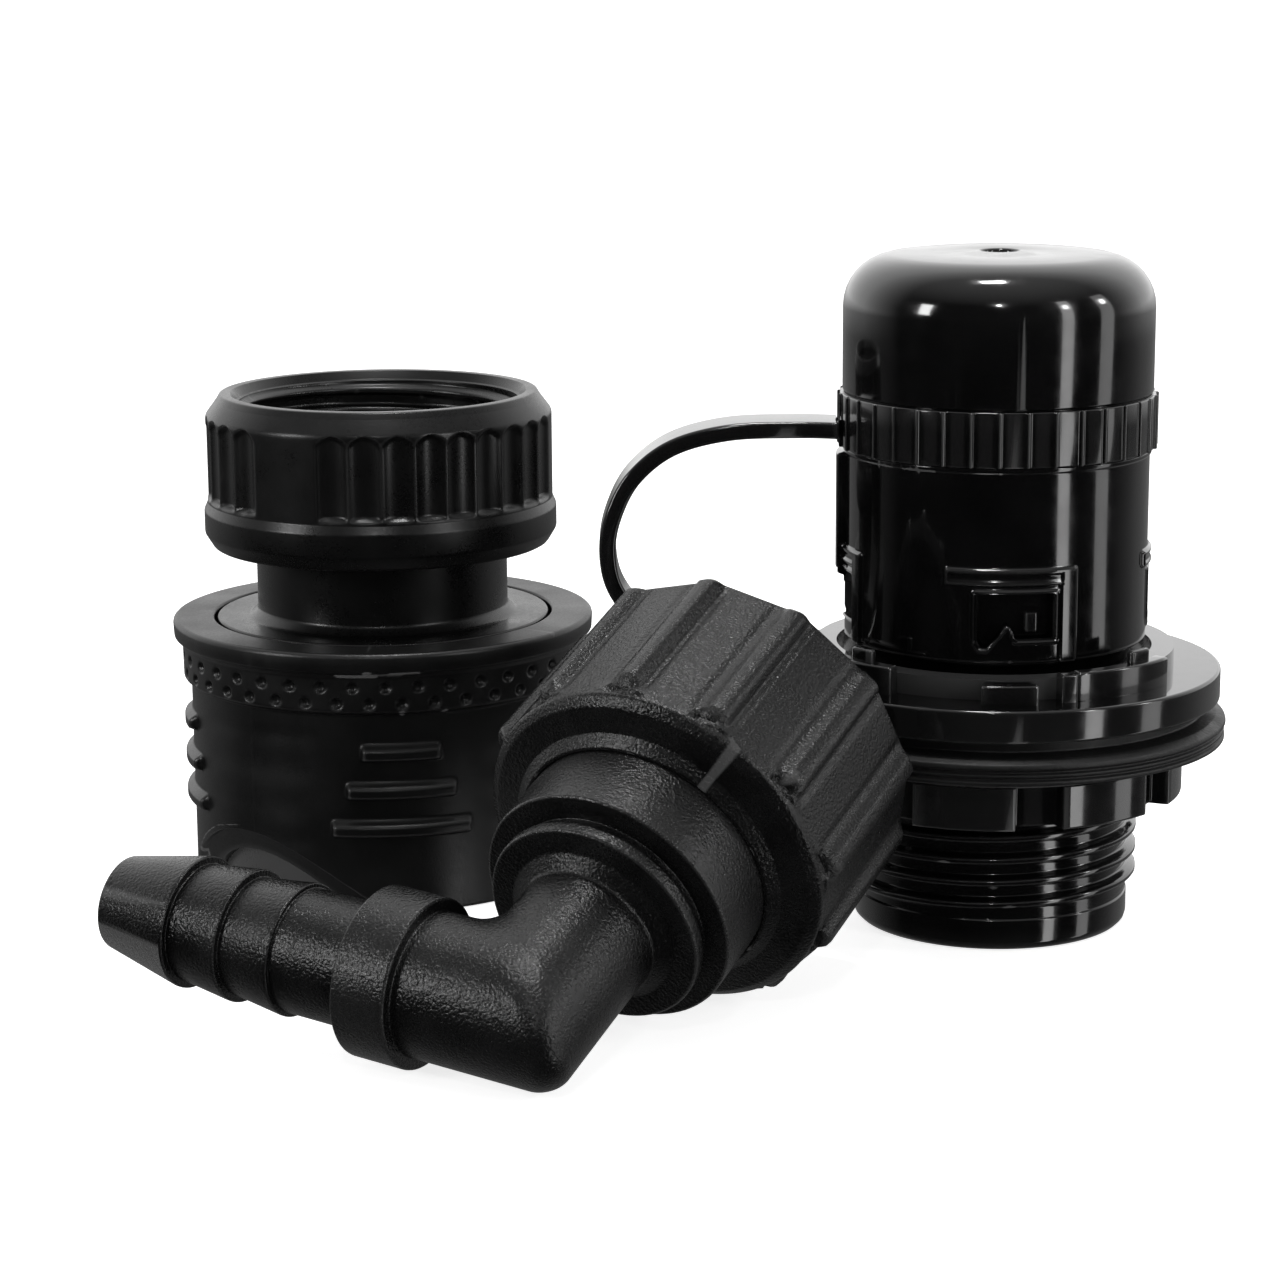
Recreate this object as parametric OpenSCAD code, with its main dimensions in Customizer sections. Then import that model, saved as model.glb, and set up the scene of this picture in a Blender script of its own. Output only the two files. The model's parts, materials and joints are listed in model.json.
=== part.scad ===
// Capped rinse-water inlet valve with its quick coupling and swivel elbow.
// Millimetres, +Z up. The origin is the centre of the valve's spigot nose, on the surface it stands on.

/* [Pipe thread] */
// Crest diameter of the three-quarter inch pipe thread
thread_od = 26.44; // [25.8:0.01:27.2]
// Distance between neighbouring thread crests
thread_pitch = 2.0; // [1.8:0.05:2.2]
// Depth of the thread from crest to root
thread_depth = 0.9; // [0.7:0.05:1.0]

/* [Valve body] */
// Diameter of the round panel flange
flange_d = 40.8; // [39:0.1:43]
// Height of the flange's top face above the nose
flange_top = 23.8; // [23.5:0.1:24.5]
// Thickness of the flange
flange_t = 2.9; // [2:0.1:3.2]
// Diameter of the plain spigot nose
nose_d = 24.9; // [24.6:0.05:25.2]
// Bore of the spigot, which holds the check valve
chamber_d = 19; // [18:0.1:19.5]
// Outer diameter of the panel gasket
gasket_d = 42; // [41:0.1:44]
// Diameter of the slotted lock ring
lock_ring_d = 34.4; // [32:0.1:36]

/* [Cap] */
// Diameter of the cap above the tether ring
cap_d = 27.64; // [27.4:0.01:28]
// Height of the cap's top above the nose
cap_top = 60.9; // [60:0.1:62]
// Height of the cap's lower edge
cap_low = 26.4; // [26.2:0.1:26.8]
// Radius of the cap's shoulder
cap_round = 4.6; // [3.5:0.1:5]
// Diameter of the vent hole in the cap
vent_d = 3.2; // [2:0.1:4]

/* [Tether] */
// Number of vertical ribs on the tether's knurled ring
tether_ribs = 36; // [24:1:48]
// Thickness of the tether strap
strap_t = 1.5; // [1:0.1:1.8]
// Width of the tether strap
strap_w = 5.4; // [4:0.1:6]

/* [Quick coupling] */
// Coupling axis, to the right of the valve's axis
coupling_x = -56.7; // [-60:0.1:-54]
// Coupling axis, behind the valve's axis
coupling_y = 18.6; // [14:0.1:24]
// Diameter of the release sleeve's top lip
sleeve_lip_d = 40.2; // [39:0.1:42]
// Diameter of the release sleeve below its dotted band
sleeve_d = 37; // [36.5:0.1:37.6]
// Height of the release sleeve
sleeve_h = 24.9; // [24.5:0.1:25.2]
// Outer diameter of the coupling nut
coupling_nut_d = 32.8; // [32:0.1:34]
// Height of the coupling nut's rim
coupling_top = 46.2; // [45.5:0.1:47]

/* [Elbow] */
// Elbow corner, to the right of the valve's axis
elbow_x = -41.2; // [-44:0.1:-38]
// Elbow corner, behind the valve's axis
elbow_y = -46.2; // [-52:0.1:-44]
// Heading of the elbow's nut axis, turned from +X towards +Y
elbow_heading = 59.3; // [50:0.1:66]
// Slope of the elbow's nut axis above the horizontal
elbow_slope = 22.5; // [21:0.1:25]
// Outer diameter of the elbow's plain tube
elbow_tube_d = 12; // [11.6:0.1:12.6]
// Diameter over the hose barbs
barb_d = 11.1; // [10.5:0.02:11.5]
// Distance from the elbow's corner to the tip of the hose barb
barb_reach = 38.8; // [38:0.1:42]
// Distance across the flats of the elbow's twelve-sided nut
elbow_nut_af = 30.7; // [30.4:0.1:31.5]

/* [Hidden] */
$fn = 96;
cut = 0.5;
run_gap = 0.06;

black_gloss = [0.03, 0.03, 0.035];
black_satin = [0.07, 0.07, 0.075];
black_grain = [0.10, 0.10, 0.105];
rubber_dark = [0.14, 0.14, 0.14];
acetal_grey = [0.62, 0.62, 0.60];
steel = [0.72, 0.72, 0.74];

thread_r = thread_od / 2;
thread_root_r = thread_r - thread_depth;
thread_bore_r = thread_r + run_gap;
shank_r = thread_r - 0.2;
female_crest_r = thread_root_r + 0.25;
flange_low = flange_top - flange_t;

// Valve levels, from the nose upwards
nose_h = 2.8;
thread_from = 4.5;
thread_to = 11.2;
lock_low = 12.3;
lock_high = 16.2;
washer_high = 17.2;
washer_r = 17;
seat_z = 13.6;
throat_r = 6.2;
drum_r = 12.25;
drum_top = 33;
wall_r = 17.7;
wall_inner_r = 16.3;
wall_h = 2.5;
step_h = 1.7;
tab_h = 3.6;
tab_turn = 42;
tab_half = 4;
step_turn = -1.4;
step_half = 7.9;
wall_from = 13.2;
wall_to = 53.8;
quarter = 90;

// Cap
cap_r = cap_d / 2;
skirt_r = 13.6;
skirt_inner_r = 12.5;
ring_low = 43.6;
ring_high = 48.4;
ring_r = 14.05;
rib_turn = 5;
rib_low = 31.2;
rib_from = -104;
rib_to = -86;
window_turn = 2.2;
window_half = 15.1;
boss_left = 26.2;
boss_right = 22.5;
strip_left = 16.4;
window_low = 28.5;
window_high = 32.6;
lug_turn = 8.3;
lug_half = 2.4;
lug_r = 13;

// Nipple under the cap
nipple_r = 8.3;
nipple_top = 52;
nipple_bore_r = 5.2;
nipple_ring_z = 48.9;
nipple_ring_minor = 1.1;

// Tether route, seen from the front: distance to the right of the axis, and height
strap_route = [
    [-14.4, 45.2], [-18, 45.3], [-24, 45.1], [-29, 43.8], [-32.4, 41.2], [-34.2, 38],
    [-34.9, 34.6], [-34.2, 31], [-31.6, 27.9], [-27.2, 25.9], [-22, 25.0], [-16.25, 24.75]
];

// Quick coupling
sleeve_r = sleeve_d / 2;
lip_r = sleeve_lip_d / 2;
band_r = sleeve_r + 0.7;
lip_low = 23.2;
band_low = 19.1;
plate_r = 15.85;
sleeve_inner_r = 16.15;
carrier_inner_r = 14.7;
neck_r = 11.95;
socket_r = 11.5;
socket_bore_r = 8.75;
plate_low = 22.3;
neck_top = 36;
nut_low = 31.7;
nut_lip_top = 34;
nut_r = coupling_nut_d / 2;
stop_seat_z = 19.5;
stop_bore_r = 6.8;
arch_half = 46;
arch_turn = -40.5;
bar_turn = 8.6;
bar_half = 11;
bar_step = 3.6;
bar_grow = 4.4;
arch_rise = 6.9;

// Elbow, along its nut arm (up) and its barb arm (sideways) from the corner
elbow_z = 6.25;
elbow_roll = 5.55;
tube_r = elbow_tube_d / 2;
collar_r = 7.05;
barb_r = barb_d / 2;
barb_pitch = 5.13;
barb_first = 20.82;
hub_r = 11.1;
elbow_nut_low = 19.6;
elbow_rim = 21.7;
elbow_nut_top = 38.3;
elbow_lip_top = 23.5;
elbow_seat = 25.2;

function catmull(p0, p1, p2, p3, t) =
    0.5 * (2 * p1 + (p2 - p0) * t + (2 * p0 - 5 * p1 + 4 * p2 - p3) * t * t
        + (3 * p1 - p0 - 3 * p2 + p3) * t * t * t);
function knot(route, i) = route[max(0, min(len(route) - 1, i))];
function smooth(route, steps) = concat(
    [for (i = [0 : len(route) - 2], s = [0 : steps - 1])
        catmull(knot(route, i - 1), knot(route, i), knot(route, i + 1), knot(route, i + 2), s / steps)],
    [route[len(route) - 1]]);
function side_of(line, i) =
    let (d = knot(line, i + 1) - knot(line, i - 1), n = norm(d)) [-d[1], d[0]] / n;
function ribbon(line, half) = concat(
    [for (i = [0 : len(line) - 1]) line[i] + half * side_of(line, i)],
    [for (i = [len(line) - 1 : -1 : 0]) line[i] - half * side_of(line, i)]);

module tube(outer, inner, low, high) {
    difference() {
        translate([0, 0, low]) cylinder(r = outer, h = high - low);
        translate([0, 0, low - cut]) cylinder(r = inner, h = high - low + 2 * cut);
    }
}

module o_ring(major, minor, z) {
    translate([0, 0, z]) rotate_extrude() translate([major, 0]) circle(r = minor, $fn = 48);
}

module turned(points) {
    rotate_extrude() polygon(points);
}

// A slice of ring between two angles, counted from the front towards the right
module ring_slice(outer, inner, low, high, from, to) {
    rotate([0, 0, from - 90]) rotate_extrude(angle = to - from)
        translate([inner, low]) square([outer - inner, high - low]);
}

// Sharp crests of a pipe thread, as parallel rings
module male_crests(low, high) {
    for (z = [low : thread_pitch : high])
        turned([
            [thread_root_r - 0.2, z - 0.6], [thread_root_r, z - 0.6], [thread_r, z - 0.15],
            [thread_r, z + 0.15], [thread_root_r, z + 0.6], [thread_root_r - 0.2, z + 0.6]
        ]);
}

module female_crests(low, high) {
    for (z = [low : thread_pitch : high])
        turned([
            [thread_bore_r + 0.2, z - 0.6], [thread_bore_r + 0.2, z + 0.6], [thread_bore_r, z + 0.6],
            [female_crest_r, z + 0.15], [female_crest_r, z - 0.15], [thread_bore_r, z - 0.6]
        ]);
}

// A round-wire spring drawn as a stack of rings joined by their inner seam
module coil(major, wire, low, high, turns) {
    for (i = [0 : turns - 1])
        o_ring(major, wire, low + wire + i * (high - low - 2 * wire) / (turns - 1));
    tube(major + wire * 0.35, major - wire * 0.35, low + wire, high - wire);
}

module inlet_body() {
    color(black_gloss) difference() {
        union() {
            turned([
                [0, 0], [nose_d / 2 - 0.9, 0], [nose_d / 2 - 0.25, 0.3], [nose_d / 2, 0.9],
                [nose_d / 2, nose_h - 0.3], [thread_root_r, nose_h], [thread_root_r, thread_to + 0.8],
                [shank_r, thread_to + 1], [shank_r, flange_low], [flange_d / 2 - 0.25, flange_low],
                [flange_d / 2, flange_low + 0.25], [flange_d / 2, flange_top - 0.25],
                [flange_d / 2 - 0.25, flange_top], [drum_r, flange_top], [drum_r, drum_top - 0.4],
                [drum_r - 0.4, drum_top], [0, drum_top]
            ]);
            male_crests(thread_from, thread_to);
            for (i = [0 : 1])
                ring_slice(wall_r + 0.6, wall_inner_r, flange_top - 0.2, flange_top + step_h,
                    step_turn - step_half + 2 * i * quarter, step_turn + step_half + 2 * i * quarter);
            for (i = [-1 : 0]) {
                ring_slice(wall_r, wall_inner_r, flange_top - 0.2, flange_top + wall_h,
                    wall_from + i * quarter, wall_to + i * quarter);
                ring_slice(wall_r - 0.5, wall_inner_r + 0.2, flange_top + wall_h - 0.2, flange_top + tab_h,
                    tab_turn - tab_half + i * quarter, tab_turn + tab_half + i * quarter);
            }
            for (i = [0 : 3]) {
                ring_slice(lug_r, drum_r - 0.5, 29.1, 30.8,
                    lug_turn - lug_half + i * quarter, lug_turn + lug_half + i * quarter);
            }
        }
        translate([0, 0, -cut]) cylinder(r = chamber_d / 2, h = seat_z + cut);
        translate([0, 0, -cut]) cylinder(r = throat_r, h = drum_top + 2 * cut);
        translate([0, 0, drum_top - 4]) cylinder(r = nipple_r - 0.4, h = 4 + cut);
    }
}

module hose_nipple() {
    color(black_gloss) difference() {
        turned([
            [0, drum_top - 4], [nipple_r - 0.4, drum_top - 4], [nipple_r - 0.4, drum_top],
            [11.6, drum_top], [11.6, drum_top + 1.6], [9.6, drum_top + 2.2], [nipple_r, drum_top + 3.4],
            [nipple_r, 41.5], [7.5, 42.4], [7.5, 44.6], [nipple_r + 0.25, 45.4],
            [nipple_r + 0.25, nipple_ring_z - 1.2], [7.1, nipple_ring_z - 1.2],
            [7.1, nipple_ring_z + 1.2], [nipple_r, nipple_ring_z + 1.2], [nipple_r - 0.3, 51],
            [nipple_r - 1.2, nipple_top], [0, nipple_top]
        ]);
        translate([0, 0, drum_top - 5]) cylinder(r = nipple_bore_r, h = nipple_top - drum_top + 6);
    }
}

module nipple_o_ring() {
    color(rubber_dark) o_ring(7.1 + nipple_ring_minor, nipple_ring_minor, nipple_ring_z);
}

module panel_gasket() {
    g = gasket_d / 2;
    color(rubber_dark) turned([
        [thread_r, washer_high], [g - 0.5, washer_high], [g - 0.1, washer_high + 0.2],
        [g - 0.1, washer_high + 0.5], [g - 0.5, washer_high + 0.7], [g - 0.15, washer_high + 0.9],
        [g - 0.15, washer_high + 1.1], [g - 0.5, washer_high + 1.3], [g, washer_high + 1.6],
        [g - 0.1, washer_high + 2], [g - 0.9, washer_high + 2.4], [g - 2.2, washer_high + 2.6],
        [g - 2.2, flange_low], [thread_r, flange_low]
    ]);
}

module backing_washer() {
    color(black_satin) tube(washer_r, thread_bore_r, lock_high, washer_high);
}

module lock_ring() {
    slots = 8;
    block = 31;
    block_turn = 30.8;
    color(black_satin) difference() {
        turned([
            [thread_bore_r, lock_low + 0.3], [thread_bore_r + 0.3, lock_low],
            [lock_ring_d / 2 - 0.3, lock_low], [lock_ring_d / 2, lock_low + 0.3],
            [lock_ring_d / 2, lock_high - 0.2], [lock_ring_d / 2 - 0.2, lock_high],
            [thread_bore_r, lock_high]
        ]);
        for (i = [0 : slots - 1])
            ring_slice(lock_ring_d / 2 + 1, lock_ring_d / 2 - 1.7, lock_low - cut, lock_high + cut,
                block_turn + block / 2 + i * 360 / slots, block_turn - block / 2 + (i + 1) * 360 / slots);
    }
}

module check_cage() {
    color(acetal_grey) union() {
        tube(chamber_d / 2, 7.6, 1.2, 3.6);
        for (i = [0 : 2])
            rotate([0, 0, 120 * i]) translate([2.2, -0.7, 1.2]) cube([6, 1.4, 2.4]);
        tube(3.0, 1.56, 1.2, 5.4);
    }
}

module check_poppet() {
    color(acetal_grey) turned([
        [0, 4.4], [1.5, 4.4], [1.5, 10.6], [3, 10.9], [7.6, 10.9], [7.6, 12.6], [5.4, 12.6],
        [5.4, seat_z - 0.4], [5.0, seat_z + 0.5], [0, seat_z + 1.4]
    ]);
}

module check_seal() {
    color(rubber_dark) turned([
        [5.4, 12.6], [7.5, 12.6], [7.5, 13.2], [6.9, seat_z - 0.05], [6.5, 13.2], [5.4, 13.2]
    ]);
}

module check_spring() {
    color(steel) coil(4.4, 0.3, 3.65, 10.85, 6);
}

module bayonet_window() {
    at = function(turn) skirt_r * sin(turn);
    rotate([90, 0, 0]) linear_extrude(height = skirt_r + 2)
        polygon([
            [at(-window_half), window_high], [at(-window_half), 28.3], [at(-13.4), 27.75],
            [at(-11.2), 27.75], [at(-4.4), 29.7], [at(-2.6), 29.75], [at(-0.3), window_low],
            [at(window_half), window_low], [at(window_half), window_high]
        ]);
}

// Raised bar above a window, and the strip that runs down from its right end
module window_boss() {
    difference() {
        ring_slice(skirt_r + 0.35, skirt_r - 0.3, cap_low, 34.7, -boss_left, boss_right);
        ring_slice(skirt_r + 1, skirt_r - 1, cap_low - cut, 33.3, -boss_left - 2, strip_left);
    }
}

module cap() {
    color(black_gloss) difference() {
        union() {
            rotate_extrude() difference() {
                union() {
                    translate([0, cap_low]) square([skirt_r, ring_high - cap_low + 0.2]);
                    translate([0, ring_high + 0.1]) square([cap_r, cap_top - cap_round - ring_high - 0.1]);
                    translate([0, cap_top - cap_round - 1]) square([cap_r - cap_round, cap_round + 1]);
                    translate([cap_r - cap_round, cap_top - cap_round]) circle(r = cap_round);
                    translate([skirt_r - 0.2, ring_low - 0.55]) square([0.34, 0.45]);
                }
                translate([0, cap_low - cut]) square([skirt_inner_r, 30.5]);
                translate([0, 50]) square([skirt_inner_r - 3.4, cap_top - 1.8 - 50]);
                translate([skirt_inner_r - 3.4, cap_top - 1.8 - 3.4]) circle(r = 3.4);
            }
            for (i = [0 : 3]) rotate([0, 0, window_turn + i * quarter]) window_boss();
            ring_slice(skirt_r + 0.75, skirt_r - 0.3, rib_low, ring_low - 0.7, rib_from, rib_to);
            tube(8.6, 6.9, 53.8, cap_top - 1.2);
        }
        translate([0, 0, cap_top - 3]) cylinder(r = vent_d / 2, h = 4);
        for (i = [0 : 3]) rotate([0, 0, window_turn + i * quarter]) {
            bayonet_window();
            ring_slice(lug_r + 0.06, skirt_inner_r - 1, cap_low - cut, window_high,
                -window_half - 0.2, window_half + 0.2);
        }
        ring_slice(skirt_r + 2, skirt_inner_r - 1, cap_low - cut, rib_low - 0.6, rib_from, rib_to);
    }
}

module cap_seal_ring() {
    color(rubber_dark) tube(8.4, 5.6, nipple_top + 0.3, 53.8);
}

module tether_cap_ring() {
    color(black_gloss) union() {
        tube(ring_r, skirt_r + run_gap, ring_low, ring_high);
        for (i = [0 : tether_ribs - 1])
            rotate([0, 0, i * 360 / tether_ribs + rib_turn])
                translate([-0.22, -ring_r - 0.24, ring_low]) cube([0.44, 0.4, ring_high - ring_low]);
    }
}

module tether_strap() {
    color(black_gloss) rotate([90, 0, 0]) linear_extrude(height = strap_w, center = true)
        polygon(ribbon(smooth(strap_route, 5), strap_t / 2));
}

module tether_base_ring() {
    color(black_gloss) tube(16.2, 14.2, flange_top, flange_top + 1.8);
}

module at_coupling() {
    translate([coupling_x, coupling_y, 0]) children();
}

module coupling_body() {
    color(black_satin) at_coupling() difference() {
        turned([
            [0, 3.6], [socket_r - 0.4, 3.6], [socket_r, 4], [socket_r, 18.8], [13.9, 20.8],
            [13.9, plate_low], [plate_r, plate_low], [plate_r, sleeve_h - 0.3], [plate_r - 0.3, sleeve_h],
            [neck_r + 0.5, sleeve_h], [neck_r, sleeve_h + 0.5], [neck_r, nut_lip_top + 0.1],
            [10.9, nut_lip_top + 0.1], [10.9, 35.3], [neck_r, 35.3], [neck_r, neck_top], [0, neck_top]
        ]);
        translate([0, 0, 3]) cylinder(r1 = socket_bore_r + 1.2, r2 = socket_bore_r, h = 1.8);
        translate([0, 0, 3]) cylinder(r = socket_bore_r, h = 15.2);
        translate([0, 0, 13.2]) cylinder(r = 9.95, h = 2.2);
        translate([0, 0, 17]) cylinder(r = 4.6, h = 20);
        translate([0, 0, stop_seat_z + 0.6]) cylinder(r1 = 4.6, r2 = stop_bore_r, h = 2.0);
        translate([0, 0, stop_seat_z + 2.5]) cylinder(r = stop_bore_r, h = 20);
        for (i = [0 : 3])
            ring_slice(socket_r + 1, socket_bore_r - 1, 6.2, 11.4, 90 * i - 21, 90 * i + 21);
    }
}

module jaw_ring() {
    color(acetal_grey) at_coupling() for (i = [0 : 3]) rotate([0, 0, 90 * i]) difference() {
        ring_slice(12.5, 8.3, 6.4, 11.2, -20, 20);
        o_ring(12.5, 0.55, 8.8);
    }
}

module jaw_spring() {
    color(steel) at_coupling() o_ring(12.55, 0.5, 8.8);
}

module socket_o_ring() {
    color(rubber_dark) at_coupling() o_ring(9.0, 0.95, 14.3);
}

module coupling_nut() {
    flutes = [for (g = [0 : 2], k = [0 : 8]) g * 120 + k * 10.7 - 11.2];
    color(black_satin) at_coupling() difference() {
        union() {
            turned([
                [neck_r + run_gap, nut_low], [nut_r - 0.6, nut_low], [nut_r + 0.1, nut_low + 0.9],
                [nut_r + 0.35, nut_low + 1.8], [nut_r + 0.35, 35.4], [nut_r, 36.2], [nut_r, 44],
                [nut_r - 0.35, 45], [15.3, 45.6], [15.1, coupling_top - 0.2],
                [14.9, coupling_top], [14.0, coupling_top], [13.5, 45.4], [thread_bore_r, 45.4],
                [thread_bore_r, nut_lip_top + 0.1], [neck_r + run_gap, nut_lip_top + 0.1]
            ]);
            female_crests(39.4, 44.6);
        }
        for (a = flutes)
            rotate([0, 0, a]) translate([0, -nut_r - 0.75, 36.4]) cylinder(r = 1.35, h = 7.4);
    }
}

module coupling_nut_clip() {
    color(steel) at_coupling() difference() {
        tube(12.8, 10.9, 34.2, 35.2);
        ring_slice(14, 9, 34, 36, 172, 188);
    }
}

module coupling_nut_washer() {
    color(rubber_dark) at_coupling() tube(12.9, 7.4, neck_top, neck_top + 2);
}

module sleeve_arch(rise) {
    rotate([90, 0, 0]) linear_extrude(height = lip_r)
        polygon([for (u = [-1 : 0.1 : 1])
            [sleeve_r * sin(u * arch_half), rise * pow(max(0, cos(u * 90)), 1.2) - 0.01]]);
}

module grip_sleeve() {
    color(black_satin) at_coupling() difference() {
        union() {
            turned([
                [sleeve_inner_r, 0.4], [sleeve_r - 0.6, 0], [sleeve_r - 0.1, 0.5], [sleeve_r, band_low - 0.3],
                [band_r, band_low], [band_r, lip_low - 0.9], [lip_r - 0.5, lip_low],
                [lip_r, lip_low + 0.5], [lip_r, sleeve_h - 0.5], [lip_r - 0.5, sleeve_h],
                [sleeve_inner_r, sleeve_h]
            ]);
            for (i = [0 : 3], k = [0 : 2])
                ring_slice(sleeve_r + 0.75, sleeve_r - 0.3, 14.6 - bar_step * k, 16.1 - bar_step * k,
                    quarter * i + bar_turn - bar_half - bar_grow * k,
                    quarter * i + bar_turn + bar_half + bar_grow * k);
        }
        for (i = [0 : 1]) rotate([0, 0, 180 * i + arch_turn]) {
            sleeve_arch(arch_rise - 2.2);
            difference() {
                sleeve_arch(arch_rise);
                cylinder(r = sleeve_r - 1.1, h = 2 * arch_rise);
            }
        }
    }
}

module sleeve_carrier() {
    color(black_satin) at_coupling() union() {
        tube(sleeve_inner_r, carrier_inner_r, 1.2, 17.2);
        tube(carrier_inner_r + 0.2, 13.3, 6.8, 10.6);
        tube(carrier_inner_r + 0.2, 11.9, 11.8, 13.0);
    }
}

module sleeve_spring() {
    color(steel) at_coupling() coil(15.3, 0.35, 17.25, plate_low - 0.05, 4);
}

module stop_poppet() {
    color(acetal_grey) at_coupling() turned([
        [0, 14.5], [2.2, 14.5], [2.9, 15.2], [2.9, 19.2], [4.1, 19.8], [4.1, 21.0], [6.2, 22.4],
        [6.2, 23.2], [1.5, 23.6], [1.5, 29.6], [0, 29.6]
    ]);
}

module stop_poppet_o_ring() {
    color(rubber_dark) at_coupling() o_ring(4.4, 0.3, 20.4);
}

module stop_spring() {
    color(steel) at_coupling() coil(4.2, 0.3, 23.65, 31.75, 6);
}

module stop_cage() {
    color(acetal_grey) at_coupling() union() {
        tube(stop_bore_r, 5.4, 31.8, 33.6);
        for (i = [0 : 2])
            rotate([0, 0, 120 * i]) translate([2, -0.7, 31.8]) cube([4, 1.4, 1.8]);
        tube(2.7, 1.56, 28.6, 33.6);
    }
}

// The elbow is drawn with its nut arm up and its barb arm along +Y, then laid on its side
module at_elbow() {
    translate([elbow_x, elbow_y, elbow_z]) rotate([0, 90 - elbow_slope, elbow_heading])
        rotate([0, 0, elbow_roll]) children();
}

module barb_profile() {
    small = barb_r - 0.6;
    steps = [for (k = [0 : 1])
        let (z = barb_first + k * barb_pitch)
        each [[barb_r, z], [barb_r, z + 0.3], [small, z + barb_pitch]]];
    last = barb_first + 2 * barb_pitch;
    turned(concat(
        [[0, 0], [tube_r, 0], [tube_r, 8.8], [collar_r, 8.8], [collar_r, 13.8], [barb_r - 0.35, 13.8],
            [barb_r - 0.35, barb_first]],
        steps,
        [[barb_r, last], [barb_r, last + 0.3], [3.95, barb_reach - 0.3], [3.6, barb_reach],
            [0, barb_reach]]));
}

module elbow_body() {
    color(black_grain) at_elbow() difference() {
        union() {
            rotate([-90, 0, 0]) barb_profile();
            intersection() {
                translate([0, 0, -2 * tube_r]) cylinder(r = tube_r, h = 3 * tube_r);
                rotate([-90, 0, 0]) translate([0, 0, -2 * tube_r]) cylinder(r = tube_r, h = 3 * tube_r);
            }
            turned([
                [0, 0], [tube_r, 0], [tube_r, 10.2], [tube_r + 0.9, 11.0], [9.2, 11.0], [9.44, 11.25],
                [9.44, 12.2], [8.9, 12.5], [8.9, 13.3], [hub_r - 0.15, 13.3], [hub_r, 13.5],
                [hub_r, elbow_lip_top + 0.1], [10.2, elbow_lip_top + 0.1], [10.2, 24.8],
                [hub_r, 24.8], [hub_r, elbow_seat], [0, elbow_seat]
            ]);
        }
        rotate([-90, 0, 0]) cylinder(r = 3.2, h = barb_reach + 1);
        cylinder(r = 4.4, h = elbow_seat + 1);
        sphere(r = 4.4);
    }
}

module elbow_nut() {
    sides = 12;
    nut_turn = -3.5;
    rib_h = 0.55;
    rib_w = 1.5;
    corner_r = elbow_nut_af / 2 / cos(180 / sides);
    color(black_grain) at_elbow() difference() {
        union() {
            intersection() {
                translate([0, 0, elbow_nut_low]) rotate([0, 0, nut_turn])
                    cylinder(r = corner_r, h = elbow_nut_top - elbow_nut_low, $fn = sides);
                turned([
                    [0, elbow_nut_low], [hub_r + 0.3, elbow_nut_low], [12.3, 20.5], [14.6, 20.9],
                    [15.37, elbow_rim], [15.9, elbow_rim + 0.5], [17, elbow_rim + 0.8], [17, 36.9],
                    [15.4, elbow_nut_top], [0, elbow_nut_top]
                ]);
            }
            for (i = [0 : sides - 1]) rotate([0, 0, nut_turn + i * 360 / sides])
                translate([corner_r - 1, -rib_w / 2, elbow_rim + 1.9])
                    cube([1 + rib_h, rib_w, elbow_nut_top - elbow_rim - 2.7]);
        }
        translate([0, 0, elbow_nut_low - cut]) cylinder(r = hub_r + run_gap, h = 6);
        difference() {
            translate([0, 0, elbow_lip_top]) cylinder(r = thread_bore_r, h = 20);
            female_crests(29, 37);
        }
    }
}

module elbow_clip() {
    color(steel) at_elbow() difference() {
        tube(12.8, 10.2, elbow_lip_top + 0.15, 24.75);
        ring_slice(14, 9, 23, 25, -8, 8);
    }
}

module elbow_nut_washer() {
    color(rubber_dark) at_elbow() tube(12.9, 5.2, elbow_seat, elbow_seat + 2);
}

inlet_body();
hose_nipple();
nipple_o_ring();
panel_gasket();
backing_washer();
lock_ring();
check_cage();
check_poppet();
check_seal();
check_spring();
cap();
cap_seal_ring();
tether_cap_ring();
tether_strap();
tether_base_ring();
coupling_body();
coupling_nut();
coupling_nut_washer();
coupling_nut_clip();
grip_sleeve();
sleeve_carrier();
sleeve_spring();
jaw_ring();
jaw_spring();
socket_o_ring();
stop_poppet();
stop_poppet_o_ring();
stop_spring();
stop_cage();
elbow_body();
elbow_nut();
elbow_nut_washer();
elbow_clip();
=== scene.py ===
"""A capped inlet valve, its quick coupling and its swivel elbow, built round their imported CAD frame."""
import json
import math

import bmesh
import bpy
import numpy as np
from mathutils import Matrix, Vector


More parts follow.
